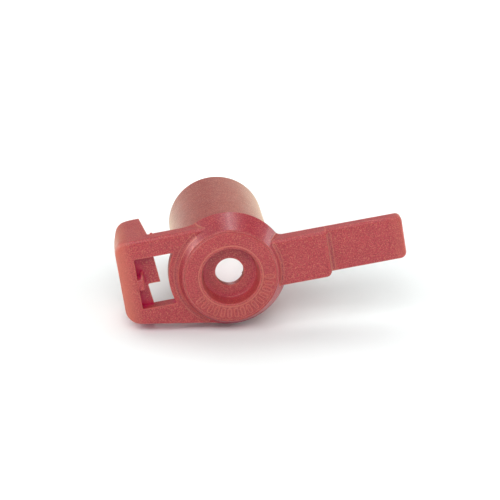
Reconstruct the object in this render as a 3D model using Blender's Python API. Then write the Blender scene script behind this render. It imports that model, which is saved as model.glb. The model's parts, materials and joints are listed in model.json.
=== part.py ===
"""Small irrigation emitter with a twist-lock head, in its resting pose.

A conical head carries the outlet orifice, a lever on its right and a windowed locking arm on
its left. The head turns on a plain barrel that plugs into the supply. Lengths are in metres.
Every sub-part is modelled on the barrel's axis: +X along the lever, +Y from the face to the
barrel's rear end, +Z up. Two empties then lay the assembly down on its floor.
"""

import math

import bmesh
import bpy
from mathutils import Vector

MM = 0.001
SEGMENTS = 48
CORNER_STEPS = 4
SMOOTH_ANGLE = math.radians(30)
BEVEL_ANGLE = math.radians(50)
OVERSHOOT = 1.0 * MM

# Gaps between neighbouring pieces
SEAT_GAP = 0.12 * MM
RUNNING_GAP = 0.08 * MM

# Barrel
BARREL_R = 6.35 * MM
BARREL_BORE_R = 5.30 * MM
BARREL_REAR_Y = 22.30 * MM
BARREL_CHAMFER = 0.20 * MM
INLET_HALF_WIDTH = 3.30 * MM
INLET_FRONT_Y = 9.50 * MM

# Hub
HUB_FRONT_R = 6.30 * MM
HUB_FRONT_Y = 0.20 * MM
HUB_REAR_R = 7.90 * MM
HUB_RIM_Y = 2.90 * MM
HUB_REAR_Y = 3.30 * MM
RUNNING_SEAT_R = 6.55 * MM
RUNNING_SEAT_Y = 3.15 * MM
SPIGOT_REAR_Y = 8.30 * MM
SPIGOT_BORE_R = 3.90 * MM
SPIGOT_MOUTH_R = 4.30 * MM

# Face ring and orifice
FACE_RING_R = 6.05 * MM
FACE_RING_BORE_R = 4.35 * MM
FACE_RING_DEPTH = 0.95 * MM
FACE_RING_EDGE = 0.12 * MM
INSERT_R = 4.20 * MM
INSERT_REAR_Y = 3.00 * MM
INSERT_EDGE = 0.10 * MM
RECESS_R = 3.85 * MM
RECESS_FLOOR_R = 3.55 * MM
RECESS_FLOOR_Y = 1.85 * MM
ORIFICE_R = 1.87 * MM

# Seals, snap ring and stream straightener
ORIFICE_SEAL_R = 3.40 * MM
ORIFICE_SEAL_SECTION_R = 0.36 * MM
BARREL_SEAL_R = 4.85 * MM
BARREL_SEAL_SECTION_R = 0.40 * MM
BARREL_SEAL_Y = 5.60 * MM
SNAP_RING_INNER_R = 4.80 * MM
SNAP_RING_OUTER_R = 5.60 * MM
SNAP_RING_Y = 7.25 * MM
SNAP_RING_THICKNESS = 0.60 * MM
SNAP_RING_OPENING = math.radians(40)
STRAIGHTENER_R = 3.80 * MM
STRAIGHTENER_CORE_R = 3.30 * MM
STRAIGHTENER_FIN_R = 2.75 * MM
STRAIGHTENER_FRONT_Y = 3.98 * MM
STRAIGHTENER_REAR_Y = 6.40 * MM
FIN_HALF_ANGLE = math.radians(6)
FIN_COUNT = 4

# Tongues of the lever and the locking arm, seated in the hub's rim
SEAT_R = 6.90 * MM
TONGUE_ROOT_R = 5.00 * MM

# Locking arm: a plate with a window, seen from the front
ARM_FRONT_Y = 1.40 * MM
ARM_LEFT_X = -14.30 * MM
ARM_TOP_Z = 6.70 * MM
ARM_BOTTOM_LEFT_Z = -4.60 * MM
ARM_BOTTOM_SLOPE = -0.178
ARM_TOP_RADIUS = 1.80 * MM
ARM_BOTTOM_RADIUS = 2.20 * MM
WINDOW_LEFT_X = -12.00 * MM
WINDOW_TOP_Z = 4.15 * MM
WINDOW_BOTTOM_Z = -2.80 * MM
WINDOW_HUB_R = 8.00 * MM
WINDOW_CORNER_RADIUS = 0.30 * MM

# Locking hook: the block behind the arm's outer end
HOOK_REAR_Y = 10.00 * MM
HOOK_TIP_TOP_X = -9.76 * MM
HOOK_TIP_STEP_X = -9.20 * MM
HOOK_NECK_STEP_X = -10.83 * MM
HOOK_NECK_BOTTOM_X = -10.20 * MM
HOOK_STEP_Z = 0.10 * MM
HOOK_BOTTOM_Z = -5.02 * MM
HOOK_REAR_LEFT_X = -13.30 * MM
HOOK_REAR_RIGHT_X = -10.30 * MM
HOOK_CORNER_RADIUS = 2.60 * MM
HOOK_BOTTOM_RADIUS = 0.40 * MM
HOOK_CATCH_RADIUS = 0.40 * MM
HOOK_REAR_RADIUS = 0.30 * MM

# Detent peg on the window's outer edge
PEG_R = 0.55 * MM
PEG_X = -11.75 * MM
PEG_TOP_Z = 2.80 * MM
PEG_BOTTOM_Z = 0.15 * MM

# Lever
LEVER_TOP_Z = 3.35 * MM
LEVER_ARM_FRONT_Y = 1.10 * MM
LEVER_ARM_END_X = 13.25 * MM
LEVER_ARM_BOTTOM_Z = -3.05 * MM
LEVER_CORNER_RADIUS = 0.80 * MM
GRIP_FRONT_Y = 1.80 * MM
GRIP_END_X = 23.35 * MM
GRIP_BOTTOM_Z = -2.60 * MM
TENON_LENGTH = 2.20 * MM
TENON_ROOT = 1.00 * MM
TENON_TOP_Z = 1.80 * MM
TENON_BOTTOM_Z = -1.20 * MM
TENON_FRONT_Y = 2.20 * MM
TENON_REAR_Y = 2.90 * MM

EDGE_RADIUS = 0.30 * MM

# Resting pose
HEAD_ROLL = math.radians(9.0)
BARREL_DIP = math.radians(6.07)

# Colours: linear red, green, blue; roughness
GLOSSY_RED = ((0.52, 0.030, 0.045), 0.22)
SATIN_RED = ((0.50, 0.045, 0.050), 0.45)
PALE_RED = ((0.55, 0.130, 0.095), 0.60)
BLACK_RUBBER = ((0.02, 0.02, 0.02), 0.70)
SPRING_STEEL = ((0.60, 0.60, 0.62), 0.30)


def clear_scene():
    for obj in list(bpy.data.objects):
        bpy.data.objects.remove(obj, do_unlink=True)


def plastic(name, look, metallic=0.0):
    """A Principled material with one colour and roughness."""
    material = bpy.data.materials.new(name)
    material.use_nodes = True
    shader = material.node_tree.nodes["Principled BSDF"]
    colour, roughness = look
    shader.inputs["Base Color"].default_value = (*colour, 1.0)
    shader.inputs["Roughness"].default_value = roughness
    shader.inputs["Metallic"].default_value = metallic
    return material


def add_object(name, bm, parent, material=None):
    """Turns a bmesh into a smooth-shaded object under its parent empty."""
    bmesh.ops.recalc_face_normals(bm, faces=bm.faces)
    mesh = bpy.data.meshes.new(name)
    bm.to_mesh(mesh)
    bm.free()
    mesh.shade_smooth()
    mesh.set_sharp_from_angle(angle=SMOOTH_ANGLE)
    obj = bpy.data.objects.new(name, mesh)
    bpy.context.scene.collection.objects.link(obj)
    obj.parent = parent
    if material:
        mesh.materials.append(material)
    return obj


def polar(radius, angle):
    """A point (x, z) at that radius and angle, counted up from +X."""
    return radius * math.cos(angle), radius * math.sin(angle)


def circle(radius, centre, start=0.0, sweep=2 * math.pi, steps=12):
    """Points along an arc, without its last point when it closes on itself."""
    count = steps if abs(sweep) >= 2 * math.pi else steps + 1
    angles = [start + sweep * i / steps for i in range(count)]
    return [(centre[0] + radius * math.cos(a), centre[1] + radius * math.sin(a)) for a in angles]


def rounded(corners):
    """The outline through corners (u, v, radius), each corner with an arc of its radius."""
    outline = []
    for i, (u, v, radius) in enumerate(corners):
        here = Vector((u, v))
        if radius == 0:
            outline.append((u, v))
            continue
        back = (Vector(corners[i - 1][:2]) - here).normalized()
        ahead = (Vector(corners[(i + 1) % len(corners)][:2]) - here).normalized()
        half = back.angle(ahead) / 2
        centre = here + (back + ahead).normalized() * (radius / math.sin(half))
        first = here + back * (radius / math.tan(half)) - centre
        last = here + ahead * (radius / math.tan(half)) - centre
        turn = first.angle_signed(last)
        start = math.atan2(first.y, first.x)
        outline += circle(radius, centre, start, -turn, CORNER_STEPS)
    return outline


def lathe(name, profile, parent, material=None, sweep=2 * math.pi):
    """A body turned about the Y axis from a closed outline of (radius, y) points."""
    bm = bmesh.new()
    verts = [bm.verts.new((radius, y, 0.0)) for radius, y in profile]
    edges = [bm.edges.new((verts[i - 1], verts[i])) for i in range(len(verts))]
    full = sweep >= 2 * math.pi
    if not full:
        bm.faces.new(verts)
        edges = list(bm.edges)
    bmesh.ops.spin(bm, geom=verts + edges, axis=(0, 1, 0), cent=(0, 0, 0), angle=sweep,
                   steps=SEGMENTS, use_merge=full)
    if full:
        bmesh.ops.remove_doubles(bm, verts=bm.verts, dist=0.001 * MM)
    else:
        last_loop = [v for v in bm.verts if v.is_boundary and v not in verts]
        bmesh.ops.contextual_create(bm, geom=last_loop)
    return add_object(name, bm, parent, material)


def prism(name, outline, start, depth, parent, material=None, along="Y"):
    """A flat outline extruded along Y from (x, z) points, or along Z from (x, y) points."""
    bm = bmesh.new()
    if along == "Y":
        verts = [bm.verts.new((u, start, v)) for u, v in outline]
        shift = (0, depth, 0)
    else:
        verts = [bm.verts.new((u, v, start)) for u, v in outline]
        shift = (0, 0, depth)
    face = bm.faces.new(verts)
    grown = bmesh.ops.extrude_face_region(bm, geom=[face])["geom"]
    moved = [element for element in grown if isinstance(element, bmesh.types.BMVert)]
    bmesh.ops.translate(bm, verts=moved, vec=shift)
    return add_object(name, bm, parent, material)


def as_cutter(obj):
    obj.hide_render = True
    obj.display_type = "WIRE"
    return obj


def combine(obj, other, operation="DIFFERENCE"):
    """Cuts, joins or intersects obj with a guide body."""
    modifier = obj.modifiers.new(other.name, "BOOLEAN")
    modifier.operation = operation
    modifier.solver = "EXACT"
    modifier.object = as_cutter(other)
    return obj


def soften(obj, width=EDGE_RADIUS):
    """Rounds the sharp outer edges of a plate."""
    modifier = obj.modifiers.new("edge_radius", "BEVEL")
    modifier.width = width
    modifier.segments = 2
    modifier.limit_method = "ANGLE"
    modifier.angle_limit = BEVEL_ANGLE
    return obj


def ring_section(ring_r, y, section_r, steps=12):
    """The round section of a ring seal, as (radius, y) points."""
    return circle(section_r, (ring_r, y), steps=steps)


def make_barrel(parent, material):
    groove_r = SNAP_RING_OUTER_R + RUNNING_GAP
    groove_front = SNAP_RING_Y - SEAT_GAP
    groove_rear = SNAP_RING_Y + SNAP_RING_THICKNESS + SEAT_GAP
    front_y = RUNNING_SEAT_Y + RUNNING_GAP
    barrel = lathe("barrel", [
        (BARREL_BORE_R, front_y),
        (BARREL_R, front_y),
        (BARREL_R, BARREL_REAR_Y - BARREL_CHAMFER),
        (BARREL_R - BARREL_CHAMFER, BARREL_REAR_Y),
        (BARREL_BORE_R, BARREL_REAR_Y),
        (BARREL_BORE_R, groove_rear),
        (groove_r, groove_rear),
        (groove_r, groove_front),
        (BARREL_BORE_R, groove_front),
    ], parent, material)
    inlet = rounded([
        (-INLET_HALF_WIDTH, INLET_FRONT_Y, LEVER_CORNER_RADIUS),
        (INLET_HALF_WIDTH, INLET_FRONT_Y, LEVER_CORNER_RADIUS),
        (INLET_HALF_WIDTH, BARREL_REAR_Y + BARREL_R, 0),
        (-INLET_HALF_WIDTH, BARREL_REAR_Y + BARREL_R, 0),
    ])
    cutter = prism("inlet_cut", inlet, -2 * BARREL_R, 2 * BARREL_R, parent, along="Z")
    return combine(barrel, cutter)


def seat_cut(name, top_angle, bottom_angle, front_y, parent):
    """The sector cut from the hub's rim for a tongue between two angles."""
    spare = SEAT_GAP / SEAT_R
    start = bottom_angle - spare
    sweep = top_angle - bottom_angle + 2 * spare
    inner = circle(SEAT_R - SEAT_GAP, (0, 0), start, sweep, 16)
    outer = circle(HUB_REAR_R + OVERSHOOT, (0, 0), start + sweep, -sweep, 16)
    depth = HUB_REAR_Y - front_y + OVERSHOOT
    return prism(name, inner + outer, front_y - SEAT_GAP, depth, parent)


def make_hub(parent, material):
    pocket_r = FACE_RING_R + SEAT_GAP
    pocket_y = FACE_RING_DEPTH + SEAT_GAP
    insert_pocket_r = INSERT_R + SEAT_GAP
    insert_pocket_y = INSERT_REAR_Y + SEAT_GAP
    spigot_r = BARREL_BORE_R - RUNNING_GAP
    seal_groove_r = BARREL_SEAL_R - BARREL_SEAL_SECTION_R - RUNNING_GAP
    seal_groove = BARREL_SEAL_SECTION_R + SEAT_GAP
    ring_groove_r = SNAP_RING_INNER_R - SEAT_GAP
    ring_front = SNAP_RING_Y - RUNNING_GAP
    ring_rear = SNAP_RING_Y + SNAP_RING_THICKNESS + RUNNING_GAP
    hub = lathe("hub_body", [
        (pocket_r, HUB_FRONT_Y),
        (HUB_FRONT_R, HUB_FRONT_Y),
        (HUB_REAR_R, HUB_RIM_Y),
        (HUB_REAR_R, HUB_REAR_Y),
        (RUNNING_SEAT_R, HUB_REAR_Y),
        (RUNNING_SEAT_R, RUNNING_SEAT_Y),
        (spigot_r, RUNNING_SEAT_Y),
        (spigot_r, BARREL_SEAL_Y - seal_groove),
        (seal_groove_r, BARREL_SEAL_Y - seal_groove),
        (seal_groove_r, BARREL_SEAL_Y + seal_groove),
        (spigot_r, BARREL_SEAL_Y + seal_groove),
        (spigot_r, ring_front),
        (ring_groove_r, ring_front),
        (ring_groove_r, ring_rear),
        (spigot_r, ring_rear),
        (spigot_r, SPIGOT_REAR_Y),
        (SPIGOT_MOUTH_R, SPIGOT_REAR_Y),
        (SPIGOT_BORE_R, STRAIGHTENER_REAR_Y),
        (SPIGOT_BORE_R, insert_pocket_y),
        (insert_pocket_r, insert_pocket_y),
        (insert_pocket_r, pocket_y),
        (pocket_r, pocket_y),
    ], parent, material)
    arm_top, arm_bottom = arm_angles()
    lever_top, lever_bottom = lever_angles()
    combine(hub, seat_cut("arm_seat_cut", arm_bottom, arm_top, ARM_FRONT_Y, parent))
    combine(hub, seat_cut("lever_seat_cut", lever_top, lever_bottom, LEVER_ARM_FRONT_Y, parent))
    return hub


def arm_angles():
    """Angles at which the locking arm's top and bottom edges meet the hub's rim."""
    top = math.pi - math.asin(ARM_TOP_Z / HUB_REAR_R)
    slope_length = math.hypot(1.0, ARM_BOTTOM_SLOPE)
    offset = (ARM_BOTTOM_LEFT_Z - ARM_BOTTOM_SLOPE * ARM_LEFT_X) / slope_length
    normal = math.atan2(-1.0, ARM_BOTTOM_SLOPE)
    bottom = normal - math.acos(-offset / HUB_REAR_R) + 2 * math.pi
    return top, bottom


def lever_angles():
    """Angles at which the lever's top and bottom edges meet the hub's rim."""
    return math.asin(LEVER_TOP_Z / HUB_REAR_R), math.asin(LEVER_ARM_BOTTOM_Z / HUB_REAR_R)


def hub_clearance(name, parent):
    """The round body that a tongue's inner end is cut back to."""
    outline = circle(SEAT_R, (0, 0), steps=SEGMENTS)
    return prism(name, outline, -OVERSHOOT, HUB_REAR_Y + 2 * OVERSHOOT, parent)


def make_face_ring(parent, material):
    return lathe("face_ring", [
        (FACE_RING_BORE_R, FACE_RING_EDGE),
        (FACE_RING_BORE_R + FACE_RING_EDGE, 0.0),
        (FACE_RING_R - FACE_RING_EDGE, 0.0),
        (FACE_RING_R, FACE_RING_EDGE),
        (FACE_RING_R, FACE_RING_DEPTH),
        (FACE_RING_BORE_R, FACE_RING_DEPTH),
    ], parent, material)


def make_orifice_insert(parent, material):
    return lathe("orifice_insert", [
        (RECESS_R, INSERT_EDGE),
        (INSERT_R - INSERT_EDGE, INSERT_EDGE),
        (INSERT_R, 2 * INSERT_EDGE),
        (INSERT_R, INSERT_REAR_Y),
        (ORIFICE_R + INSERT_EDGE, INSERT_REAR_Y),
        (ORIFICE_R, INSERT_REAR_Y - INSERT_EDGE),
        (ORIFICE_R, RECESS_FLOOR_Y),
        (RECESS_FLOOR_R, RECESS_FLOOR_Y),
    ], parent, material)


def make_seals(parent, material):
    orifice_seal_y = INSERT_REAR_Y + ORIFICE_SEAL_SECTION_R + SEAT_GAP
    orifice = ring_section(ORIFICE_SEAL_R, orifice_seal_y, ORIFICE_SEAL_SECTION_R, 8)
    lathe("orifice_seal", orifice, parent, material)
    barrel = ring_section(BARREL_SEAL_R, BARREL_SEAL_Y, BARREL_SEAL_SECTION_R, 10)
    lathe("barrel_seal", barrel, parent, material)


def make_snap_ring(parent, material):
    profile = [
        (SNAP_RING_INNER_R, SNAP_RING_Y),
        (SNAP_RING_OUTER_R, SNAP_RING_Y),
        (SNAP_RING_OUTER_R, SNAP_RING_Y + SNAP_RING_THICKNESS),
        (SNAP_RING_INNER_R, SNAP_RING_Y + SNAP_RING_THICKNESS),
    ]
    return lathe("snap_ring", profile, parent, material, 2 * math.pi - SNAP_RING_OPENING)


def straightener_core():
    """The waterway's outline: a circle dented by the ends of the fins."""
    outline = []
    for i in range(FIN_COUNT):
        middle = math.pi * (2 * i + 1) / FIN_COUNT
        outline += circle(STRAIGHTENER_FIN_R, (0, 0), middle - FIN_HALF_ANGLE,
                          2 * FIN_HALF_ANGLE, 2)
        gap = 2 * math.pi / FIN_COUNT - 2 * FIN_HALF_ANGLE
        outline += circle(STRAIGHTENER_CORE_R, (0, 0), middle + FIN_HALF_ANGLE, gap, 8)
    return outline


def make_straightener(parent, material):
    depth = STRAIGHTENER_REAR_Y - STRAIGHTENER_FRONT_Y
    outline = circle(STRAIGHTENER_R, (0, 0), steps=SEGMENTS)
    body = prism("stream_straightener", outline, STRAIGHTENER_FRONT_Y, depth, parent, material)
    core = prism("waterway_cut", straightener_core(), STRAIGHTENER_FRONT_Y - OVERSHOOT,
                 depth + 2 * OVERSHOOT, parent)
    return combine(body, core)


def make_locking_arm(parent, material):
    top, bottom = arm_angles()
    top_rim = polar(HUB_REAR_R, top)
    bottom_rim = polar(HUB_REAR_R, bottom)
    outline = rounded([
        (*polar(TONGUE_ROOT_R, top), 0),
        (*top_rim, 0),
        (ARM_LEFT_X, ARM_TOP_Z, ARM_TOP_RADIUS),
        (ARM_LEFT_X, ARM_BOTTOM_LEFT_Z, ARM_BOTTOM_RADIUS),
        (*bottom_rim, 0),
        (*polar(TONGUE_ROOT_R, bottom), 0),
    ])
    depth = HUB_REAR_Y - ARM_FRONT_Y
    arm = prism("locking_arm", outline, ARM_FRONT_Y, depth, parent, material)
    soften(arm)
    window = rounded([
        (WINDOW_LEFT_X, WINDOW_TOP_Z, WINDOW_CORNER_RADIUS),
        (WINDOW_LEFT_X, WINDOW_BOTTOM_Z, WINDOW_CORNER_RADIUS),
        (-TONGUE_ROOT_R, WINDOW_BOTTOM_Z, 0),
        (-TONGUE_ROOT_R, WINDOW_TOP_Z, 0),
    ])
    cut = prism("window_cut", window, ARM_FRONT_Y - OVERSHOOT, depth + 2 * OVERSHOOT, parent)
    rim_outline = circle(WINDOW_HUB_R, (0, 0), steps=SEGMENTS)
    rim = prism("window_rim", rim_outline, ARM_FRONT_Y - 2 * OVERSHOOT, depth + 4 * OVERSHOOT,
                parent)
    combine(cut, rim)
    combine(arm, cut)
    combine(arm, make_detent_peg("peg_seat_cut", parent, spare=SEAT_GAP))
    return combine(arm, hub_clearance("arm_clearance", parent))


def make_locking_hook(parent, material):
    front_y = HUB_REAR_Y + SEAT_GAP
    world_level = -math.tan(HEAD_ROLL)
    bottom_right_z = HOOK_BOTTOM_Z + world_level * (HOOK_NECK_BOTTOM_X - ARM_LEFT_X)
    front_outline = rounded([
        (HOOK_TIP_TOP_X, ARM_TOP_Z, 0),
        (ARM_LEFT_X, ARM_TOP_Z, ARM_TOP_RADIUS),
        (ARM_LEFT_X, HOOK_BOTTOM_Z, ARM_BOTTOM_RADIUS),
        (HOOK_NECK_BOTTOM_X, bottom_right_z, HOOK_BOTTOM_RADIUS),
        (HOOK_NECK_STEP_X, HOOK_STEP_Z, HOOK_CATCH_RADIUS),
        (HOOK_TIP_STEP_X, HOOK_STEP_Z, 0),
    ])
    depth = HOOK_REAR_Y - front_y
    hook = prism("locking_hook", front_outline, front_y, depth, parent, material)
    plan = rounded([
        (ARM_LEFT_X + SEAT_GAP, front_y - OVERSHOOT, 0),
        (HOOK_REAR_LEFT_X, HOOK_REAR_Y - SEAT_GAP, HOOK_CORNER_RADIUS),
        (HOOK_REAR_RIGHT_X, HOOK_REAR_Y - SEAT_GAP, HOOK_REAR_RADIUS),
        (HOOK_TIP_STEP_X + SEAT_GAP, front_y - OVERSHOOT, 0),
    ])
    guide = prism("hook_plan", plan, 2 * HOOK_BOTTOM_Z, 4 * ARM_TOP_Z, parent, along="Z")
    return combine(hook, guide, "INTERSECT")


def make_detent_peg(name, parent, material=None, spare=0.0):
    """A short peg with round ends along the window's outer edge, or its seat's cutter."""
    length = PEG_TOP_Z - PEG_BOTTOM_Z
    bm = bmesh.new()
    bmesh.ops.create_uvsphere(bm, u_segments=12, v_segments=8, radius=PEG_R + spare)
    for vert in bm.verts:
        if vert.co.z > 0.1 * PEG_R:
            vert.co.z += length
    middle_y = (ARM_FRONT_Y + HUB_REAR_Y) / 2
    bmesh.ops.translate(bm, verts=bm.verts, vec=(PEG_X, middle_y, PEG_BOTTOM_Z))
    return add_object(name, bm, parent, material)


def make_lever_arm(parent, material):
    top, bottom = lever_angles()
    outline = rounded([
        (*polar(TONGUE_ROOT_R, bottom), 0),
        (*polar(HUB_REAR_R, bottom), 0),
        (LEVER_ARM_END_X, LEVER_ARM_BOTTOM_Z, LEVER_CORNER_RADIUS),
        (LEVER_ARM_END_X, LEVER_TOP_Z, 0),
        (*polar(HUB_REAR_R, top), 0),
        (*polar(TONGUE_ROOT_R, top), 0),
    ])
    depth = HUB_REAR_Y - LEVER_ARM_FRONT_Y
    arm = prism("lever_arm", outline, LEVER_ARM_FRONT_Y, depth, parent, material)
    soften(arm)
    combine(arm, hub_clearance("lever_clearance", parent))
    return combine(arm, tenon("lever_tenon", 0.0, parent), "UNION")


def tenon(name, spare, parent):
    """The tongue that carries the grip, or its socket when spare is a gap."""
    outline = [
        (LEVER_ARM_END_X - TENON_ROOT, TENON_BOTTOM_Z - spare),
        (LEVER_ARM_END_X + TENON_LENGTH + spare, TENON_BOTTOM_Z - spare),
        (LEVER_ARM_END_X + TENON_LENGTH + spare, TENON_TOP_Z + spare),
        (LEVER_ARM_END_X - TENON_ROOT, TENON_TOP_Z + spare),
    ]
    depth = TENON_REAR_Y - TENON_FRONT_Y + 2 * spare
    return prism(name, outline, TENON_FRONT_Y - spare, depth, parent)


def make_lever_grip(parent, material):
    start_x = LEVER_ARM_END_X + SEAT_GAP
    outline = rounded([
        (start_x, GRIP_BOTTOM_Z, 0),
        (GRIP_END_X, GRIP_BOTTOM_Z, LEVER_CORNER_RADIUS),
        (GRIP_END_X, LEVER_TOP_Z, LEVER_CORNER_RADIUS),
        (start_x, LEVER_TOP_Z, 0),
    ])
    grip = prism("lever_grip", outline, GRIP_FRONT_Y, HUB_REAR_Y - GRIP_FRONT_Y, parent, material)
    soften(grip)
    return combine(grip, tenon("grip_socket_cut", SEAT_GAP, parent))


def empty(name, parent=None):
    obj = bpy.data.objects.new(name, None)
    bpy.context.scene.collection.objects.link(obj)
    obj.parent = parent
    return obj


def stand_on_origin(base):
    """Moves the assembly so that the middle of its underside is at the origin."""
    bpy.context.view_layer.update()
    graph = bpy.context.evaluated_depsgraph_get()
    points = []
    for obj in bpy.context.scene.objects:
        if obj.type == "MESH" and not obj.hide_render:
            shown = obj.evaluated_get(graph)
            points += [shown.matrix_world @ vert.co for vert in shown.data.vertices]
    low = [min(p[i] for p in points) for i in range(3)]
    high = [max(p[i] for p in points) for i in range(3)]
    base.location -= Vector(((low[0] + high[0]) / 2, (low[1] + high[1]) / 2, low[2]))


def build():
    clear_scene()
    glossy_red = plastic("glossy_red_plastic", GLOSSY_RED)
    satin_red = plastic("satin_red_plastic", SATIN_RED)
    pale_red = plastic("pale_red_plastic", PALE_RED)
    rubber = plastic("black_rubber", BLACK_RUBBER)
    steel = plastic("spring_steel", SPRING_STEEL, metallic=1.0)

    base = empty("resting_pose")
    base.rotation_euler = (-BARREL_DIP, 0.0, 0.0)
    axis = empty("barrel_axis", base)
    axis.rotation_euler = (0.0, -HEAD_ROLL, 0.0)
    head = empty("head_axis", axis)

    make_barrel(axis, pale_red)
    make_hub(head, glossy_red)
    make_face_ring(head, satin_red)
    make_orifice_insert(head, satin_red)
    make_seals(head, rubber)
    make_snap_ring(head, steel)
    make_straightener(head, satin_red)
    make_locking_arm(head, satin_red)
    make_locking_hook(head, satin_red)
    make_detent_peg("detent_peg", head, satin_red)
    make_lever_arm(head, satin_red)
    make_lever_grip(head, satin_red)
    stand_on_origin(base)


build()
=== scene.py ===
"""Looks of the twist-lock irrigation emitter: moulded red plastic on a pale studio floor."""
import json
import math

import bmesh
import bpy
from mathutils import Matrix, Vector


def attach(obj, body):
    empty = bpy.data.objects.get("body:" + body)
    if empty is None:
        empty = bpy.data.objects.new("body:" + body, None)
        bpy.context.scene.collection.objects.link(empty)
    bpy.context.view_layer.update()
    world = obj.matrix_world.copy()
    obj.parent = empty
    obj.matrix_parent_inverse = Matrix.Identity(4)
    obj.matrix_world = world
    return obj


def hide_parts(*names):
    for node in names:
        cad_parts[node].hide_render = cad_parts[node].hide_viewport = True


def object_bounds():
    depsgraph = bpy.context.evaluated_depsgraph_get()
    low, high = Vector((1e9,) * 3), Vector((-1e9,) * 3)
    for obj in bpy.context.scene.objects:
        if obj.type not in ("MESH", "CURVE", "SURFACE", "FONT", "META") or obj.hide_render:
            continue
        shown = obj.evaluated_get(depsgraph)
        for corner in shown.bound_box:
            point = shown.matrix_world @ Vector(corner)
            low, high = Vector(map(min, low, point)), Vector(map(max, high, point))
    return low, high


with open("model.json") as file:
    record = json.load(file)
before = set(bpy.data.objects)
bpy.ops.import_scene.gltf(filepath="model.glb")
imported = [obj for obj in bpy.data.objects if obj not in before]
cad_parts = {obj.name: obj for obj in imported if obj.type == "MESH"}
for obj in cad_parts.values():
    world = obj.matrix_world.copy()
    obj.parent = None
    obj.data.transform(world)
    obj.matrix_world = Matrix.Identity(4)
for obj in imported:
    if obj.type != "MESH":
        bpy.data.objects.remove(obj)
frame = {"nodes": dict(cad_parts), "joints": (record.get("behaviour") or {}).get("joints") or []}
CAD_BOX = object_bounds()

MM = 0.001
ROUND_STEPS = 192
CORNER_STEPS = 10
EDGE_PARTS = 6
FILLET_STEPS = 8
HAIRLINE = 0.015 * MM

# ------------------------------------------------------- the part's own axes, from the joint
# X runs along the lever, Y from the face to the barrel's rear end, and Z is up.
HEAD_ROLL = math.radians(9.0)
HUB_DEPTH = 3.30 * MM
TWIST = frame["joints"][0]
BARREL_AXIS = Vector(TWIST["axis"]).normalized()
FACE_CENTRE = Vector(TWIST["pos_m"]) - BARREL_AXIS * HUB_DEPTH
SIDEWAYS = Vector((1.0, 0.0, 0.0))
UPWARDS = SIDEWAYS.cross(BARREL_AXIS)
LEVEL = Matrix.Translation(FACE_CENTRE) @ Matrix((SIDEWAYS, BARREL_AXIS, UPWARDS)).transposed().to_4x4()
LOCAL = LEVEL @ Matrix.Rotation(-HEAD_ROLL, 4, "Y")


def local_box(node):
    """Lowest and highest corners of a CAD node along the part's own axes."""
    back = LOCAL.inverted()
    points = [back @ vert.co for vert in frame["nodes"][node].data.vertices]
    return (Vector([min(p[i] for p in points) for i in range(3)]),
            Vector([max(p[i] for p in points) for i in range(3)]))


HUB_LOW, HUB_HIGH = local_box("hub_body")
HUB_FRONT_R = 6.30 * MM
HUB_RIM_R = HUB_HIGH.z - 0.12 * MM
HUB_RIM_Y = 3.12 * MM
SEAT_R = 6.55 * MM
ROOT_R = SEAT_R + 0.05 * MM
ARM_BOTTOM_SLOPE = -0.178
WALL_SLOPE = (HUB_RIM_R - HUB_FRONT_R) / (HUB_RIM_Y - HUB_LOW.y)


def wall_radius(y):
    """Radius of the hub's conical wall at a depth behind the face."""
    return min(HUB_RIM_R, HUB_FRONT_R + (y - HUB_LOW.y) * WALL_SLOPE)


# ------------------------------------------------------- shape helpers
def arc(radius, centre, start, sweep, steps):
    """Points along an arc, without its last point when it closes on itself."""
    count = steps if abs(sweep) >= 2 * math.pi - 1e-9 else steps + 1
    angles = [start + sweep * i / steps for i in range(count)]
    return [(centre[0] + radius * math.cos(a), centre[1] + radius * math.sin(a)) for a in angles]


def between(first, second, share):
    """The point at a share of the way from the first to the second."""
    return tuple(a + (b - a) * share for a, b in zip(first, second))


def corner_arcs(corners, steps):
    """For each corner (u, v, radius), the points of its arc."""
    arcs = []
    for i, (u, v, radius) in enumerate(corners):
        here = Vector((u, v))
        if radius == 0:
            arcs.append([(u, v)])
            continue
        back = (Vector(corners[i - 1][:2]) - here).normalized()
        ahead = (Vector(corners[(i + 1) % len(corners)][:2]) - here).normalized()
        half = back.angle(ahead) / 2
        centre = here + (back + ahead).normalized() * (radius / math.sin(half))
        first = here + back * (radius / math.tan(half)) - centre
        last = here + ahead * (radius / math.tan(half)) - centre
        arcs.append(arc(radius, centre, math.atan2(first.y, first.x), -first.angle_signed(last),
                        steps))
    return arcs


def rounded(corners, steps=CORNER_STEPS, parts=1):
    """The outline through rounded corners, with each straight run cut into parts."""
    arcs = corner_arcs(corners, steps)
    outline = []
    for here, there in zip(arcs, arcs[1:] + arcs[:1]):
        outline += here
        outline += [between(here[-1], there[0], k / parts) for k in range(1, parts)]
    return outline


def signed_area(outline):
    """Positive when the outline runs anticlockwise."""
    pairs = zip(outline, outline[1:] + outline[:1])
    return sum(a[0] * b[1] - b[0] * a[1] for a, b in pairs) / 2


def inset(outline, distance):
    """The outline moved inwards, or outwards for a negative distance."""
    turn = 1 if signed_area(outline) > 0 else -1
    moved = []
    for i, point in enumerate(outline):
        here = Vector(point)
        sides = (here - Vector(outline[i - 1]), Vector(outline[(i + 1) % len(outline)]) - here)
        normals = [Vector((-d.y, d.x)).normalized() * turn for d in sides]
        middle = (normals[0] + normals[1]).normalized()
        here += middle * (distance / max(0.5, middle.dot(normals[0])))
        moved.append((here.x, here.y))
    return moved


def wrap(bm, rows):
    """Joins closed rows of vertices with faces."""
    for here, there in zip(rows, rows[1:]):
        for i in range(len(here)):
            bm.faces.new((here[i - 1], here[i], there[i], there[i - 1]))


def loft(bm, sections):
    """A closed body through sections, each a closed loop of points."""
    rows = [[bm.verts.new(point) for point in section] for section in sections]
    wrap(bm, rows)
    bm.faces.new(rows[0])
    bm.faces.new(rows[-1][::-1])


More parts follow.
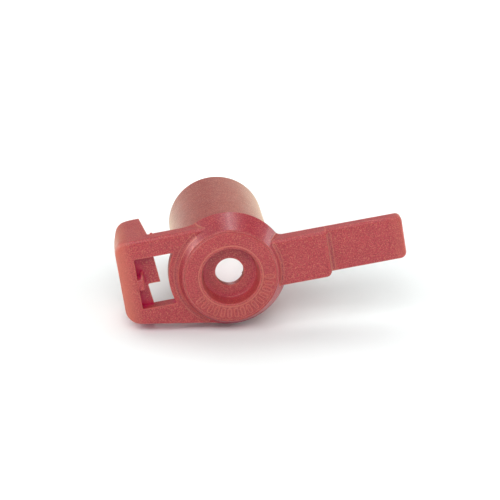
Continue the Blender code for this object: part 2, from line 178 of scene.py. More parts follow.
def finish_mesh(name, bm, smooth_angle=40):
    """An object with smooth faces and sharp creases."""
    bmesh.ops.recalc_face_normals(bm, faces=bm.faces)
    mesh = bpy.data.meshes.new(name)
    bm.to_mesh(mesh)
    bm.free()
    obj = bpy.data.objects.new(name, mesh)
    bpy.context.scene.collection.objects.link(obj)
    shade(obj, smooth_angle)
    return obj


def shade(obj, smooth_angle=40):
    obj.data.shade_smooth()
    obj.data.set_sharp_from_angle(angle=math.radians(smooth_angle))


def turned_into(bm, outline, steps=ROUND_STEPS):
    """Turns a closed outline of (radius, y) points about the barrel's axis."""
    verts = [bm.verts.new((r, y, 0.0)) for r, y in outline]
    edges = [bm.edges.new((verts[i - 1], verts[i])) for i in range(len(verts))]
    bmesh.ops.spin(bm, geom=verts + edges, axis=(0, 1, 0), cent=(0, 0, 0),
                   angle=2 * math.pi, steps=steps, use_merge=True)
    bmesh.ops.remove_doubles(bm, verts=bm.verts, dist=0.0005 * MM)


def turned(name, corners, steps=ROUND_STEPS):
    bm = bmesh.new()
    turned_into(bm, rounded(corners, 6), steps)
    return finish_mesh(name, bm)


def fillet_rows(outer, inner, y, sense, depth):
    """Rows of points from a flat face's outline out to the body's outline, in a quarter ellipse."""
    rows = []
    for step in range(FILLET_STEPS + 1):
        angle = math.pi / 2 * step / FILLET_STEPS
        here = [between(a, b, math.sin(angle)) for a, b in zip(inner, outer)]
        rows.append([(p[0], y + sense * depth * (1 - math.cos(angle)), p[1]) for p in here])
    return rows


def plate(bm, outer, inner, front_y, back_y, depth, back_edge, holes=(), hole_edge=0.10 * MM):
    """A flat moulding between two depths, rounded from its front face out to its sides."""
    loops = [(outer, inner, inset(outer, back_edge), depth, back_edge)]
    loops += [(hole, inset(hole, -hole_edge), inset(hole, -hole_edge), hole_edge, hole_edge)
              for hole in holes]
    front_edges, back_edges = [], []
    for outline, front, back, front_depth, back_depth in loops:
        points = fillet_rows(outline, front, front_y, 1, front_depth)
        points += fillet_rows(outline, back, back_y, -1, back_depth)[::-1]
        rows = [[bm.verts.new(p) for p in row] for row in points]
        wrap(bm, rows)
        for edges, row in ((front_edges, rows[0]), (back_edges, rows[-1])):
            edges += [bm.edges.get((row[i - 1], row[i])) for i in range(len(row))]
    for edges in (front_edges, back_edges):
        bmesh.ops.triangle_fill(bm, edges=edges, use_beauty=True)


def prism(name, outline, start, depth, along="Y"):
    """An outline extruded along Y from (x, z) points, or along Z from (x, y) points."""
    bm = bmesh.new()
    if along == "Y":
        points = [[(u, y, v) for u, v in outline] for y in (start, start + depth)]
    else:
        points = [[(u, v, z) for u, v in outline] for z in (start, start + depth)]
    loft(bm, points)
    return finish_mesh(name, bm)


def apply_modifiers(obj):
    """Turns the object's modifiers into plain mesh."""
    graph = bpy.context.evaluated_depsgraph_get()
    graph.update()
    mesh = bpy.data.meshes.new_from_object(obj.evaluated_get(graph))
    obj.modifiers.clear()
    obj.data = mesh


def combine(obj, other, operation):
    """Cuts obj with a closed body, or keeps what both share. The other body is removed."""
    modifier = obj.modifiers.new("combine", "BOOLEAN")
    modifier.operation = operation
    modifier.solver = "EXACT"
    modifier.object = other
    bpy.context.view_layer.update()
    apply_modifiers(obj)
    bpy.data.objects.remove(other, do_unlink=True)


def round_edges(obj, width, angle=35):
    """Rounds every edge that is sharper than the angle."""
    modifier = obj.modifiers.new("edge", "BEVEL")
    modifier.width = width
    modifier.segments = 4
    modifier.limit_method = "ANGLE"
    modifier.angle_limit = math.radians(angle)
    apply_modifiers(obj)
    shade(obj)


def foot(bm, y, size, start, end, steps=64):
    """The small hollow fillet where a plate's front face meets the hub's wall."""
    r = wall_radius(y)
    up_wall = Vector((-WALL_SLOPE, -1.0)).normalized() * size
    first, corner, last = (r + size, y), (r, y), (r + up_wall.x, y + up_wall.y)
    curve = [between(between(first, corner, t), between(corner, last, t), t)
             for t in [k / 6 for k in range(7)]]
    inside = 0.4 * MM
    section = curve + [(r - inside, y), (r - inside, y + inside), (r + size, y + inside)]
    angles = [start + (end - start) * k / steps for k in range(steps + 1)]
    loft(bm, [[(p[0] * math.cos(a), p[1], p[0] * math.sin(a)) for p in section] for a in angles])


def flare(bm, height, side, front_y, back_y, first_radius, last_radius, steps=14):
    """The hollow sweep from a plate's flat top or underside onto the hub's wall."""
    growth, sunk = 1.6, 0.93
    sections = []
    up = 1 if height > 0 else -1
    for k in range(steps + 1):
        y = front_y + (back_y - front_y) * k / steps
        radius = first_radius + (last_radius - first_radius) * (k / steps) ** growth
        wall = wall_radius(y)
        far = wall + radius
        high = abs(height) + radius
        centre = Vector((side * math.sqrt(far ** 2 - high ** 2), up * high))
        first = math.atan2(-up, 0.0)
        last = math.atan2(-centre.y, -centre.x)
        sweep = (last - first + math.pi) % (2 * math.pi) - math.pi
        curve = arc(radius, centre, first, sweep, 10)
        corner = Vector((side * math.sqrt(wall ** 2 - height ** 2), height))
        inside = corner * sunk
        sections.append([(u, y, v) for u, v in curve + [(inside.x, inside.y)]])
    loft(bm, sections)


# ------------------------------------------------------- materials
class Look:
    """A node material on a Principled shader, with helpers for its noise patterns."""

    def __init__(self, name):
        self.material = bpy.data.materials.new(name)
        self.material.use_nodes = True
        self.tree = self.material.node_tree
        self.shader = self.tree.nodes["Principled BSDF"]
        self.coords = self.tree.nodes.new("ShaderNodeTexCoord").outputs["Object"]

    def link(self, output, socket):
        """Connects two sockets."""
        self.tree.links.new(output, socket)

    def drive(self, name, output):
        """Feeds a pattern into one of the shader's inputs."""
        self.link(output, self.shader.inputs[name])

    def noise(self, scale, detail=4.0, roughness=0.55):
        """Noise fixed to the object."""
        node = self.tree.nodes.new("ShaderNodeTexNoise")
        node.inputs["Scale"].default_value = scale
        node.inputs["Detail"].default_value = detail
        node.inputs["Roughness"].default_value = roughness
        self.link(self.coords, node.inputs["Vector"])
        return node.outputs["Fac"]

    def ranged(self, value, low, high, from_low=0.3, from_high=0.7):
        """Maps one range of values to another and holds them inside it."""
        node = self.tree.nodes.new("ShaderNodeMapRange")
        for socket, number in zip(("From Min", "From Max", "To Min", "To Max"),
                                  (from_low, from_high, low, high)):
            node.inputs[socket].default_value = number
        self.link(value, node.inputs["Value"])
        return node.outputs["Result"]

    def mixed(self, factor, first, second):
        """A blend of two colours or patterns."""
        node = self.tree.nodes.new("ShaderNodeMix")
        node.data_type = "RGBA"
        self.link(factor, node.inputs["Factor"])
        for socket, colour in ((node.inputs[6], first), (node.inputs[7], second)):
            if isinstance(colour, tuple):
                socket.default_value = (*colour, 1.0)
            else:
                self.link(colour, socket)
        return node.outputs[2]

    def edges(self, radius):
        """1 on rounded edges and 0 on flat faces."""
        bevel = self.tree.nodes.new("ShaderNodeBevel")
        bevel.samples = 6
        bevel.inputs["Radius"].default_value = radius
        normal = self.tree.nodes.new("ShaderNodeNewGeometry").outputs["Normal"]
        dot = self.tree.nodes.new("ShaderNodeVectorMath")
        dot.operation = "DOT_PRODUCT"
        self.link(bevel.outputs["Normal"], dot.inputs[0])
        self.link(normal, dot.inputs[1])
        return self.ranged(dot.outputs["Value"], 1.0, 0.0, 0.86, 0.995)

    def crevice_shade(self, distance):
        """Mask for painted shade: 1 far inside recesses, creases and hollows, and 0 in the open."""
        node = self.tree.nodes.new("ShaderNodeAmbientOcclusion")
        node.samples = 8
        node.inputs["Distance"].default_value = distance
        return self.ranged(node.outputs["AO"], 1.0, 0.0, 0.36, 0.72)

    def ends(self):
        """1 at the arm's outer end, less at the lever's, and 0 between."""
        along = self.tree.nodes.new("ShaderNodeVectorMath")
        along.operation = "DOT_PRODUCT"
        self.link(self.coords, along.inputs[0])
        along.inputs[1].default_value = LOCAL.to_3x3() @ SIDEWAYS
        centre = FACE_CENTRE.dot(LOCAL.to_3x3() @ SIDEWAYS)
        arm_tip, arm_plain = centre - 14.4 * MM, centre - 12.0 * MM
        lever_plain, lever_tip, lever_share = centre + 21.5 * MM, centre + 23.4 * MM, 0.4
        arm = self.ranged(along.outputs["Value"], 1.0, 0.0, arm_tip, arm_plain)
        lever = self.ranged(along.outputs["Value"], 0.0, lever_share, lever_plain, lever_tip)
        both = self.tree.nodes.new("ShaderNodeMath")
        both.operation = "ADD"
        self.link(arm, both.inputs[0])
        self.link(lever, both.inputs[1])
        return both.outputs[0]

    def bump(self, height, strength, distance):
        """Fine relief on the surface."""
        node = self.tree.nodes.new("ShaderNodeBump")
        node.inputs["Strength"].default_value = strength
        node.inputs["Distance"].default_value = distance
        self.link(height, node.inputs["Height"])
        self.drive("Normal", node.outputs["Normal"])

    def set(self, **values):
        """Sets uniform values on the shader's inputs."""
        for name, value in values.items():
            self.shader.inputs[name.replace("_", " ")].default_value = value


def plastic(name, base, light, warm, shade_colour, roughness, grain, sheen, coat=0.0, translucent=0.25,
            hollow=1.9 * MM):
    """Moulded plastic: cloudy, finely speckled colour, a painted warm highlight on rounded edges, a
    warmer tone towards the ends, and painted shade in hollows.
    """
    look = Look(name)
    clouds = look.ranged(look.noise(240.0), 0.0, 1.0)
    colour = look.mixed(clouds, base, light)
    speckle = look.ranged(look.noise(7400.0, 2.0, 0.7), 0.0, 1.0, 0.43, 0.61)
    colour = look.mixed(speckle, colour, tuple(0.64 * c for c in base))
    flecks = look.ranged(look.noise(6700.0, 2.0, 0.7), 0.0, 0.80, 0.50, 0.67)
    colour = look.mixed(flecks, colour, warm)
    # painted highlight: the warm colour laid along rounded edges, standing in for the light lines the
    # lamps make there
    colour = look.mixed(look.edges(0.28 * MM), colour, warm)
    # a warmer tone towards the arm's outer end and the lever's tip
    colour = look.mixed(look.ends(), colour, warm)
    # painted shade: the shade colour laid in recesses, creases and hollows, reaching as far as hollow
    colour = look.mixed(look.crevice_shade(hollow), colour, shade_colour)
    look.drive("Base Color", colour)
    look.drive("Roughness", look.ranged(look.noise(700.0, 5.0), roughness - 0.05, roughness + 0.07))
    height = look.tree.nodes.new("ShaderNodeMath")
    height.operation = "MULTIPLY_ADD"
    height.inputs[1].default_value = 1.5
    look.link(look.noise(1000.0, 3.0), height.inputs[0])
    look.link(look.noise(5200.0, 3.0, 0.6), height.inputs[2])
    look.bump(height.outputs[0], grain, 0.03 * MM)
    look.set(Subsurface_Weight=translucent, Subsurface_Radius=(1.0, 0.28, 0.20),
             Subsurface_Scale=1.0 * MM, IOR=1.47, Coat_Weight=coat, Coat_Roughness=0.08,
             Sheen_Weight=sheen, Sheen_Roughness=0.30, Sheen_Tint=(1.0, 0.86, 0.62, 1.0))
    return look.material


def rubber(name):
    """Black sealing rubber with a mould bloom."""
    look = Look(name)
    bloom = look.ranged(look.noise(900.0), 0.0, 1.0)
    look.drive("Base Color", look.mixed(bloom, (0.012, 0.012, 0.013), (0.045, 0.043, 0.042)))
    look.drive("Roughness", look.ranged(look.noise(2600.0), 0.50, 0.80))
    look.bump(look.noise(4000.0), 0.3, 0.02 * MM)
    return look.material


def steel(name):
    """Spring steel with drawn streaks."""
    look = Look(name)
    streaks = look.ranged(look.noise(1800.0, 6.0), 0.0, 1.0)
    look.drive("Base Color", look.mixed(streaks, (0.42, 0.42, 0.44), (0.66, 0.66, 0.67)))
    look.drive("Roughness", look.ranged(streaks, 0.22, 0.42, 0.0, 1.0))
    look.bump(streaks, 0.15, 0.01 * MM)
    look.set(Metallic=1.0)
    return look.material


SATIN = plastic("satin_red", (0.41, 0.036, 0.052), (0.46, 0.046, 0.058), (0.56, 0.150, 0.100),
                (0.60, 0.012, 0.095), roughness=0.42, grain=0.45, sheen=0.24)
SHADED = plastic("satin_red_shaded", (0.41, 0.036, 0.052), (0.46, 0.046, 0.058),
                 (0.56, 0.175, 0.105), (0.54, 0.001, 0.070), roughness=0.42, grain=0.45,
                 sheen=0.28, hollow=7.0 * MM)
GLOSSY = plastic("glossy_red", (0.35, 0.020, 0.044), (0.40, 0.028, 0.050), (0.56, 0.130, 0.090),
                 (0.36, 0.004, 0.044), roughness=0.42, grain=0.30, sheen=0.0, coat=0.30)
PALE = plastic("pale_red", (0.30, 0.022, 0.032), (0.35, 0.034, 0.038), (0.58, 0.20, 0.14),
               (0.30, 0.016, 0.036), roughness=0.46, grain=0.50, sheen=0.95, translucent=0.30)
RUBBER = rubber("black_rubber")
STEEL = steel("spring_steel")


# ------------------------------------------------------- pieces
def dress(piece, material, body, slot, *nodes):
    """Lays a piece on the part's axes, ties it to its body and hides the CAD nodes it replaces."""
    piece.data.transform(LOCAL)
    modifier = piece.modifiers.new("weighted_normals", "WEIGHTED_NORMAL")
    modifier.keep_sharp = True
    modifier.weight = 80
    piece.data.materials.clear()
    piece.data.materials.append(material)
    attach(piece, body)
    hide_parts(*nodes)


def make_barrel():
    """The plain barrel, with its snap ring's groove and the open inlet along its underside."""
    low, high = local_box("barrel")
    radius, bore = high.x, 5.30 * MM
    groove_r, groove_front, groove_rear = 5.68 * MM, 7.10 * MM, 8.02 * MM
    barrel = turned("barrel_shell", [
        (bore, low.y, 0.10 * MM),
        (radius, low.y, 0.15 * MM),
        (radius, high.y, 0.28 * MM),
        (bore, high.y, 0.18 * MM),
        (bore, groove_rear, 0),
        (groove_r, groove_rear, 0),
        (groove_r, groove_front, 0),
        (bore, groove_front, 0),
    ])
    inlet_half, inlet_front, corner = 3.30 * MM, 9.50 * MM, 0.80 * MM
    beyond = high.y + 4 * MM
    inlet = prism("inlet_cutter", rounded([
        (-inlet_half, inlet_front, corner),
        (inlet_half, inlet_front, corner),
        (inlet_half, beyond, 0),
        (-inlet_half, beyond, 0),
    ]), -2 * radius, 2 * radius, along="Z")
    combine(barrel, inlet, "DIFFERENCE")
    shade(barrel)
    dress(barrel, PALE, "barrel", "pale_red_plastic", "barrel")


def make_hub():
    """The conical hub and its spigot, with grooves for the seal and the snap ring."""
    ring = local_box("face_ring")[1]
    insert = local_box("orifice_insert")[1]
    rear, seat_y = HUB_DEPTH, 3.15 * MM
    ring_r, insert_r = ring.x + HAIRLINE, insert.x + HAIRLINE
    spigot, bore, mouth = 5.22 * MM, 3.90 * MM, 4.30 * MM
    seal_r, seal_front, seal_rear = 4.37 * MM, 5.08 * MM, 6.12 * MM
    clip_r, clip_front, clip_rear = 4.68 * MM, 7.17 * MM, 7.93 * MM
    straightener_rear = 6.40 * MM
    hub = turned("hub_shell", [
        (ring_r, HUB_LOW.y, 0),
        (HUB_FRONT_R, HUB_LOW.y, 0.10 * MM),
        (HUB_RIM_R, HUB_RIM_Y, 0.20 * MM),
        (HUB_RIM_R, rear, 0.08 * MM),
        (SEAT_R, rear, 0),
        (SEAT_R, seat_y, 0),
        (spigot, seat_y, 0),
        (spigot, seal_front, 0),
        (seal_r, seal_front, 0),
        (seal_r, seal_rear, 0),
        (spigot, seal_rear, 0),
        (spigot, clip_front, 0),
        (clip_r, clip_front, 0),
        (clip_r, clip_rear, 0),
        (spigot, clip_rear, 0),
        (spigot, HUB_HIGH.y, 0.10 * MM),
        (mouth, HUB_HIGH.y, 0.10 * MM),
        (bore, straightener_rear, 0),
        (bore, insert.y + HAIRLINE, 0),
        (insert_r, insert.y + HAIRLINE, 0),
        (insert_r, ring.y + HAIRLINE, 0),
        (ring_r, ring.y + HAIRLINE, 0),
    ])
    dress(hub, GLOSSY, "head", "glossy_red_plastic", "hub_body")


def make_face_ring():
    """The flat ring round the recess, with plain raised bars along its lower half."""
    low, high = local_box("face_ring")
    inner = local_box("orifice_insert")[1].x + HAIRLINE
    bm = bmesh.new()
    turned_into(bm, rounded([
        (inner, low.y, 0),
        (high.x, low.y, 0.18 * MM),
        (high.x, high.y, 0),
        (inner, high.y, 0),
    ], 6))
    count, proud, half_width = 15, 0.11 * MM, 0.20 * MM
    bar_inner, bar_outer = inner + 0.28 * MM, high.x - 0.38 * MM
    first, sweep = math.radians(-160), math.radians(140)
    for i in range(count):
        spin = Matrix.Rotation(-(first + sweep * i / (count - 1) + HEAD_ROLL), 3, "Y")
        outline = rounded([
            (bar_inner, -half_width, 0.16 * MM),
            (bar_outer, -half_width, 0.16 * MM),
            (bar_outer, half_width, 0.16 * MM),
            (bar_inner, half_width, 0.16 * MM),
        ], 4)
        before = set(bm.verts)
        plate(bm, outline, inset(outline, 0.08 * MM), low.y - proud, low.y + proud,
              0.08 * MM, 0.01 * MM)
        bmesh.ops.rotate(bm, verts=[v for v in bm.verts if v not in before],
                         cent=(0, 0, 0), matrix=spin)
    ring = finish_mesh("face_ring_shell", bm)
    dress(ring, SATIN, "head", "satin_red_plastic", "face_ring")


def make_orifice_insert():
    """The insert that holds the recess and the orifice."""
    high = local_box("orifice_insert")[1]
    front = local_box("face_ring")[0].y
    recess, floor_r, floor_y, orifice = 3.85 * MM, 3.55 * MM, 1.85 * MM, 1.87 * MM
    insert = turned("orifice_insert_shell", [
        (recess, front, 0.14 * MM),
        (high.x, front, 0),
        (high.x, high.y, 0),
        (orifice, high.y, 0.08 * MM),
        (orifice, floor_y, 0.10 * MM),
        (floor_r, floor_y, 0.30 * MM),
    ])
    dress(insert, SATIN, "head", "satin_red_plastic", "orifice_insert")


def window_outline():
    """The arm's window: straight on three sides, with the hub's rim as its fourth."""
    left, top, bottom, rim = -12.00 * MM, 4.15 * MM, -2.80 * MM, 8.00 * MM
    corner = 0.22 * MM
    first = math.pi + math.asin(-bottom / rim)
    last = math.pi - math.asin(top / rim)
    curve = arc(rim, (0, 0), first, last - first, 24)
    return [
        *arc(corner, (left + corner, top - corner), math.pi / 2, math.pi / 2, 5),
        *arc(corner, (left + corner, bottom + corner), math.pi, math.pi / 2, 5),
        *curve,
    ]


def make_locking_arm():
    """The arm with its window. It runs on under the hub's wall and sweeps up onto it."""
    low, high = local_box("locking_arm")
    left, top = low.x, high.z
    bottom_left = -4.60 * MM
    offset = (bottom_left - ARM_BOTTOM_SLOPE * left) / math.hypot(1.0, ARM_BOTTOM_SLOPE)
    foot_angle = math.atan2(-1.0, ARM_BOTTOM_SLOPE)
    last_angle = math.radians(282) - 2 * math.pi
    steps = 14
    shrinking = []
    for k in range(steps + 1):
        angle = foot_angle + (last_angle - foot_angle) * k / steps
        radius = -offset + (ROOT_R + offset) * (k / steps) ** 2
        shrinking.append((radius * math.cos(angle), radius * math.sin(angle)))
    hidden = arc(ROOT_R, (0, 0), last_angle, math.radians(106) - 2 * math.pi - last_angle, 16)
    top_end = (-1.9 * MM, top)
    inner_top_z = 6.10 * MM
    outer = [
        (*top_end, 0),
        (-6.8 * MM, top, 0),
        (-10.2 * MM, top, 0),
        (left, top, 1.75 * MM),
        (left, bottom_left, 2.2 * MM),
        *[(u, v, 0) for u, v in shrinking + hidden],
    ]
    lower = -offset - 0.28 * MM
    inner = [
        (top_end[0], top - 0.35 * MM, 0),
        (-6.8 * MM, top - 0.42 * MM, 0),
        (-10.2 * MM, inner_top_z, 0),
        (left + 0.62 * MM, 5.42 * MM, 1.30 * MM),
        (left + 0.48 * MM, bottom_left + 0.30 * MM, 1.85 * MM),
        *[(u * lower / -offset, v * lower / -offset, 0) for u, v in shrinking],
        *[(u, v, 0) for u, v in hidden],
    ]
    bm = bmesh.new()
    plate(bm, rounded(outer, CORNER_STEPS, EDGE_PARTS), rounded(inner, CORNER_STEPS, EDGE_PARTS),
          low.y, high.y, 0.42 * MM, 0.10 * MM, holes=[window_outline()])
    foot(bm, low.y, 0.40 * MM, math.radians(121), math.radians(238))
    flare(bm, top, -1, low.y + 0.30 * MM, high.y - 0.02 * MM, 0.7 * MM, 5.0 * MM)
    gate = bmesh.ops.create_uvsphere(bm, u_segments=16, v_segments=10, radius=0.24 * MM)["verts"]
    bmesh.ops.translate(bm, verts=gate, vec=(-9.2 * MM, high.y - 0.3 * MM, top - 0.03 * MM))
    arm = finish_mesh("locking_arm_plate", bm)
    dress(arm, SATIN, "head", "satin_red_plastic", "locking_arm")


def make_locking_hook():
    """The block behind the arm's outer end, with the step that catches its lug."""
    high = local_box("locking_hook")[1]
    arm_low, arm_high = local_box("locking_arm")
    left, top, bottom = arm_low.x + HAIRLINE, arm_high.z - HAIRLINE, -4.45 * MM
    front = arm_high.y - 0.6 * MM
    tip_x, step_x, step_z = -9.76 * MM, -9.20 * MM, 0.10 * MM
    neck_x, neck_bottom_x = -10.83 * MM, -10.20 * MM
    rear, draft, draft_from, drafted_side = high.y, 0.10, 3.66 * MM, -12.0 * MM
    hook = prism("locking_hook_block", rounded([
        (tip_x, top, 0),
        (left, top, 1.75 * MM),
        (left, bottom, 2.2 * MM),
        (neck_bottom_x, bottom + ARM_BOTTOM_SLOPE * (neck_bottom_x - left), 0.40 * MM),
        (neck_x, step_z, 0.18 * MM),
        (step_x, step_z, 0),
    ]), front, rear - front)
    for vert in hook.data.vertices:
        if vert.co.x > drafted_side:
            vert.co.x -= draft * (vert.co.y - draft_from)
    plan = prism("hook_plan", rounded([
        (left - 0.05 * MM, front - MM, 0),
        (left + 0.10 * MM, arm_high.y + 1.5 * MM, 6 * MM),
        (-13.30 * MM, rear, 2.5 * MM),
        (0, rear, 0),
        (0, front - MM, 0),
    ], 14), 2 * bottom, 4 * top, along="Z")
    combine(hook, plan, "INTERSECT")
    round_edges(hook, 0.16 * MM)
    dress(hook, SHADED, "head", "satin_red_plastic", "locking_hook")


def make_detent_peg():
    """The drop-shaped detent on the window's outer edge, with its thin tip leaning back."""
    front_y, back_y, lean_from, lean = 1.20 * MM, 3.00 * MM, 1.20 * MM, 0.55
    outer = rounded([
        (-12.26 * MM, 1.42 * MM, 0.55 * MM),
        (-12.26 * MM, -0.26 * MM, 0.60 * MM),
        (-11.12 * MM, -0.22 * MM, 0.50 * MM),
        (-11.18 * MM, 2.55 * MM, 0.10 * MM),
        (-11.55 * MM, 1.50 * MM, 0.25 * MM),
    ], 6, 3)
    inner = rounded([
        (-12.04 * MM, 1.16 * MM, 0.34 * MM),
        (-12.04 * MM, -0.04 * MM, 0.40 * MM),
        (-11.36 * MM, 0.00 * MM, 0.30 * MM),
        (-11.33 * MM, 1.85 * MM, 0.04 * MM),
        (-11.52 * MM, 1.26 * MM, 0.10 * MM),
    ], 6, 3)
    bm = bmesh.new()
    plate(bm, outer, inner, front_y, back_y, 0.34 * MM, 0.05 * MM)
    for vert in bm.verts:
        vert.co.y = min(back_y, vert.co.y + lean * max(0.0, vert.co.z - lean_from))
    peg = finish_mesh("detent_peg_body", bm, 60)
    dress(peg, SATIN, "head", "satin_red_plastic", "detent_peg")


def hidden_root(top, bottom):
    """The lever's end inside the hub's wall, clear of the barrel's running groove."""
    start, end = math.asin(top / ROOT_R), math.asin(bottom / ROOT_R)
    return [(u, v, 0) for u, v in arc(ROOT_R, (0, 0), start, end - start, 8)]


def make_lever_arm():
    """The lever's thick root, soft along its top and at its outer end."""
    low, high = local_box("lever_arm")
    end = local_box("lever_grip")[0].x - 0.12 * MM
    top, bottom = high.z, low.z
    outer = rounded([
        (end, bottom, 0.80 * MM),
        (end, top, 0.05 * MM),
        *hidden_root(top, bottom),
    ], CORNER_STEPS, EDGE_PARTS)
    inner = rounded([
        (end - 0.22 * MM, bottom + 0.22 * MM, 0.62 * MM),
        (end - 0.22 * MM, top - 0.62 * MM, 0.75 * MM),
        *hidden_root(top - 0.62 * MM, bottom + 0.22 * MM),
    ], CORNER_STEPS, EDGE_PARTS)
    bm = bmesh.new()
    plate(bm, outer, inner, low.y, high.y, 0.48 * MM, 0.10 * MM)
    foot(bm, low.y, 0.28 * MM, math.radians(-24), math.radians(26))
    flare(bm, top, 1, low.y + 0.35 * MM, high.y - 0.02 * MM, 0.35 * MM, 0.9 * MM)
    flare(bm, bottom, 1, low.y + 0.20 * MM, high.y - 0.02 * MM, 0.35 * MM, 0.7 * MM)
    arm = finish_mesh("lever_arm_block", bm)
    dress(arm, SATIN, "head", "satin_red_plastic", "lever_arm")


def make_lever_grip():
    """The thinner blade, with a hollow fillet at its step up to the root."""
    low, high = local_box("lever_grip")
    root_low = local_box("lever_arm")[0]
    start = low.x - 0.12 * MM
    outer = rounded([
        (start, low.z, 0),
        (high.x, low.z, 0.85 * MM),
        (high.x, high.z, 0.80 * MM),
        (start, high.z, 0),
    ], CORNER_STEPS, EDGE_PARTS)
    inner = rounded([
        (start, low.z + 0.22 * MM, 0),
        (high.x - 0.25 * MM, low.z + 0.22 * MM, 0.60 * MM),
        (high.x - 0.25 * MM, high.z - 0.50 * MM, 0.45 * MM),
        (start, high.z - 0.50 * MM, 0),
    ], CORNER_STEPS, EDGE_PARTS)
    bm = bmesh.new()
    plate(bm, outer, inner, low.y, high.y, 0.42 * MM, 0.10 * MM)
    rise, reach, inside = low.y - root_low.y - 0.25 * MM, 0.55 * MM, 0.3 * MM
    curve = [between(between((start + reach, low.y), (start, low.y), t),
                     between((start, low.y), (start, low.y - rise), t), t)
             for t in [k / 8 for k in range(9)]]
    section = curve + [(start, low.y + inside), (start + reach, low.y + inside)]
    heights = (low.z + 0.24 * MM, high.z - 0.52 * MM)
    loft(bm, [[(u, y, z) for u, y in section] for z in heights])
    grip = finish_mesh("lever_grip_blade", bm)
    dress(grip, SATIN, "head", "satin_red_plastic", "lever_grip")


def dress_inner_nodes():
    """The seals, the snap ring and the straightener keep their CAD shapes."""
    for node, material in (("orifice_seal", RUBBER), ("barrel_seal", RUBBER),
                           ("snap_ring", STEEL), ("stream_straightener", SATIN)):
        mesh = frame["nodes"][node].data
        mesh.materials.clear()
        mesh.materials.append(material)


# ------------------------------------------------------- studio
def make_floor():
    """Pale paper that glows slightly away from the part, so that it fades into the white."""
    glow, glow_from, glow_to = 0.35, 14 * MM, 42 * MM
    look = Look("pale_floor")
    paper = look.ranged(look.noise(60.0), 0.0, 1.0)
    look.drive("Base Color", look.mixed(paper, (0.82, 0.85, 0.85), (0.84, 0.87, 0.87)))
    look.drive("Roughness", look.ranged(look.noise(45.0), 0.80, 0.95))
    look.set(Specular_IOR_Level=0.1, Emission_Color=(1.0, 1.0, 1.0, 1.0))
    away = look.tree.nodes.new("ShaderNodeVectorMath")
    away.operation = "LENGTH"
    look.link(look.coords, away.inputs[0])
    look.drive("Emission Strength", look.ranged(away.outputs["Value"], 0.0, glow, glow_from, glow_to))
    bm = bmesh.new()
    bmesh.ops.create_grid(bm, x_segments=1, y_segments=1, size=1.5)
    floor = finish_mesh("studio_floor", bm)
    floor.data.materials.append(look.material)
    floor.location.z = CAD_BOX[0][2]


def add_light(name, direction, distance, size, power, colour=(1.0, 1.0, 1.0), aim_at=(0, 0, 0),
              diffuse=True, glossy=True):
    """A round soft light aimed at a point, both given on the barrel's axes.

    Without diffuse it shows in reflections only, and without glossy in no reflection.
    """
    data = bpy.data.lights.new(name, "AREA")
    data.shape = "DISK"
    data.size = size
    data.energy = power
    data.color = colour
    light = bpy.data.objects.new(name, data)
    bpy.context.scene.collection.objects.link(light)
    light.visible_camera = False
    light.visible_diffuse = diffuse
    light.visible_glossy = glossy
    away = LEVEL.to_3x3() @ Vector(direction).normalized()
    light.location = LEVEL @ Vector(aim_at) + away * distance
    light.rotation_euler = away.to_track_quat("Z", "Y").to_euler()


class Sky:
    """Builds the world's brightness as a sum of soft patches of sky."""

    def __init__(self, tree):
        self.tree = tree
        split = tree.nodes.new("ShaderNodeSeparateXYZ")
        tree.links.new(tree.nodes.new("ShaderNodeTexCoord").outputs["Generated"], split.inputs[0])
        self.x, self.y, self.z = split.outputs
        self.total = 0.0

    def math(self, operation, *values):
        """One arithmetic node, fed by sockets or plain numbers."""
        node = self.tree.nodes.new("ShaderNodeMath")
        node.operation = operation
        for socket, value in zip(node.inputs, values):
            if isinstance(value, float):
                socket.default_value = value
            else:
                self.tree.links.new(value, socket)
        return node.outputs[0]

    def above(self, height):
        """1 above a height in the sky and 0 below, with a soft change."""
        node = self.tree.nodes.new("ShaderNodeMapRange")
        node.interpolation_type = "SMOOTHSTEP"
        node.inputs["From Min"].default_value = height - 0.08
        node.inputs["From Max"].default_value = height + 0.08
        self.tree.links.new(self.z, node.inputs["Value"])
        return node.outputs["Result"]

    def add(self, strength, towards, low, high):
        """A patch centred on a compass direction, between two heights."""
        flat = self.math("ADD", self.math("MULTIPLY", self.x, self.x),
                         self.math("MULTIPLY_ADD", self.y, self.y, 0.0001))
        facing = self.math("ADD", self.math("MULTIPLY", self.x, towards[0]),
                           self.math("MULTIPLY", self.y, towards[1]))
        facing = self.math("MAXIMUM", facing, 0.0)
        facing = self.math("DIVIDE", self.math("MULTIPLY", facing, facing), flat)
        band = self.math("SUBTRACT", self.above(low), self.above(high))
        patch = self.math("MULTIPLY", self.math("MULTIPLY", band, facing), strength)
        self.total = self.math("ADD", self.total, patch)


def make_world():
    """White seen directly. Lights the part mostly from the sides and from behind."""
    front, left, back, right = (0.0, -1.0), (-1.0, 0.0), (0.0, 1.0), (1.0, 0.0)
    below, low, middle = -2.0, 0.20, 0.60
    world = bpy.data.worlds.new("studio")
    world.use_nodes = True
    tree = world.node_tree
    tree.nodes.clear()
    output = tree.nodes.new("ShaderNodeOutputWorld")
    around = tree.nodes.new("ShaderNodeBackground")
    backdrop = tree.nodes.new("ShaderNodeBackground")
    backdrop.inputs["Color"].default_value = (1.0, 1.0, 1.0, 1.0)
    sky = Sky(tree)
    sky.add(0.8, front, below, low)
    sky.add(2.4, right, below, low)
    sky.add(0.7, left, low, middle)
    sky.add(0.8, back, low, middle)
    tree.links.new(sky.total, around.inputs["Strength"])
    mix = tree.nodes.new("ShaderNodeMixShader")
    tree.links.new(tree.nodes.new("ShaderNodeLightPath").outputs["Is Camera Ray"], mix.inputs[0])
    tree.links.new(around.outputs[0], mix.inputs[1])
    tree.links.new(backdrop.outputs[0], mix.inputs[2])
    tree.links.new(mix.outputs[0], output.inputs["Surface"])
    bpy.context.scene.world = world


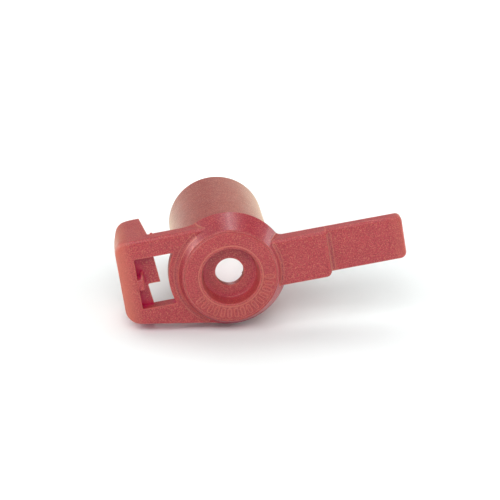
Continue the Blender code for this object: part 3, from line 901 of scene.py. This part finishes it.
def make_studio():
    """The world, the lights and the floor."""
    make_world()
    add_light("left_key", (-0.60, -0.45, 0.65), 0.35, 0.20, 0.40)
    add_light("front_softbox", (-0.10, -0.75, 0.65), 0.40, 0.20, 0.55)
    add_light("front_right", (0.35, -0.60, 0.70), 0.40, 0.20, 0.15)
    add_light("back_key", (-0.45, 0.35, 0.82), 0.40, 0.32, 0.48, (0.97, 1.0, 0.97),
              glossy=False)
    add_light("top_fill", (0.10, 0.35, 0.93), 0.40, 0.25, 0.34, (0.97, 1.0, 0.98),
              glossy=False)
    add_light("right_high", (0.90, 0.30, 0.25), 0.40, 0.20, 0.25)
    add_light("right_low", (0.95, -0.10, 0.30), 0.40, 0.20, 0.50)
    add_light("streak_light", (-0.88, 0.10, 0.44), 0.18, 0.08, 0.30, (1.0, 0.90, 0.80),
              diffuse=False)
    add_light("rim_light", (0.10, 0.35, 0.93), 0.30, 0.010, 0.25, diffuse=False)
    add_light("fillet_light", (-0.10, -0.38, 0.92), 0.35, 0.04, 0.06)
    add_light("bore_light", (0.0, 0.0, 1.0), 10 * MM, 6 * MM, 0.0007,
              aim_at=(0, 17 * MM, -6 * MM))
    make_floor()
    view = bpy.context.scene.view_settings
    view.view_transform = "Standard"
    view.look = "None"


def make_camera():
    """A long lens, 20 degrees above the barrel's axis and 6 degrees to its left."""
    azimuth, elevation, distance = math.radians(6.0), math.radians(20.0), 0.370
    sensor, frame_width = 36.0, 0.065
    ahead = Vector((math.sin(azimuth) * math.cos(elevation),
                    math.cos(azimuth) * math.cos(elevation), -math.sin(elevation)))
    right = Vector((math.cos(azimuth), -math.sin(azimuth), 0.0))
    up = right.cross(ahead)
    face_right, face_up = -2.47 * MM, -3.47 * MM
    place = -(ahead * distance + right * face_right + up * face_up)
    axes = Matrix((right, up, -ahead)).transposed().to_4x4()
    data = bpy.data.cameras.new("camera")
    data.sensor_width = sensor
    data.lens = sensor * distance / frame_width
    data.clip_start = 0.01
    camera = bpy.data.objects.new("camera", data)
    bpy.context.scene.collection.objects.link(camera)
    camera.matrix_world = LEVEL @ Matrix.Translation(place) @ axes
    bpy.context.scene.camera = camera


make_camera()
make_barrel()
make_hub()
make_face_ring()
make_orifice_insert()
make_locking_arm()
make_locking_hook()
make_detent_peg()
make_lever_arm()
make_lever_grip()
dress_inner_nodes()
make_studio()

bpy.context.view_layer.update()
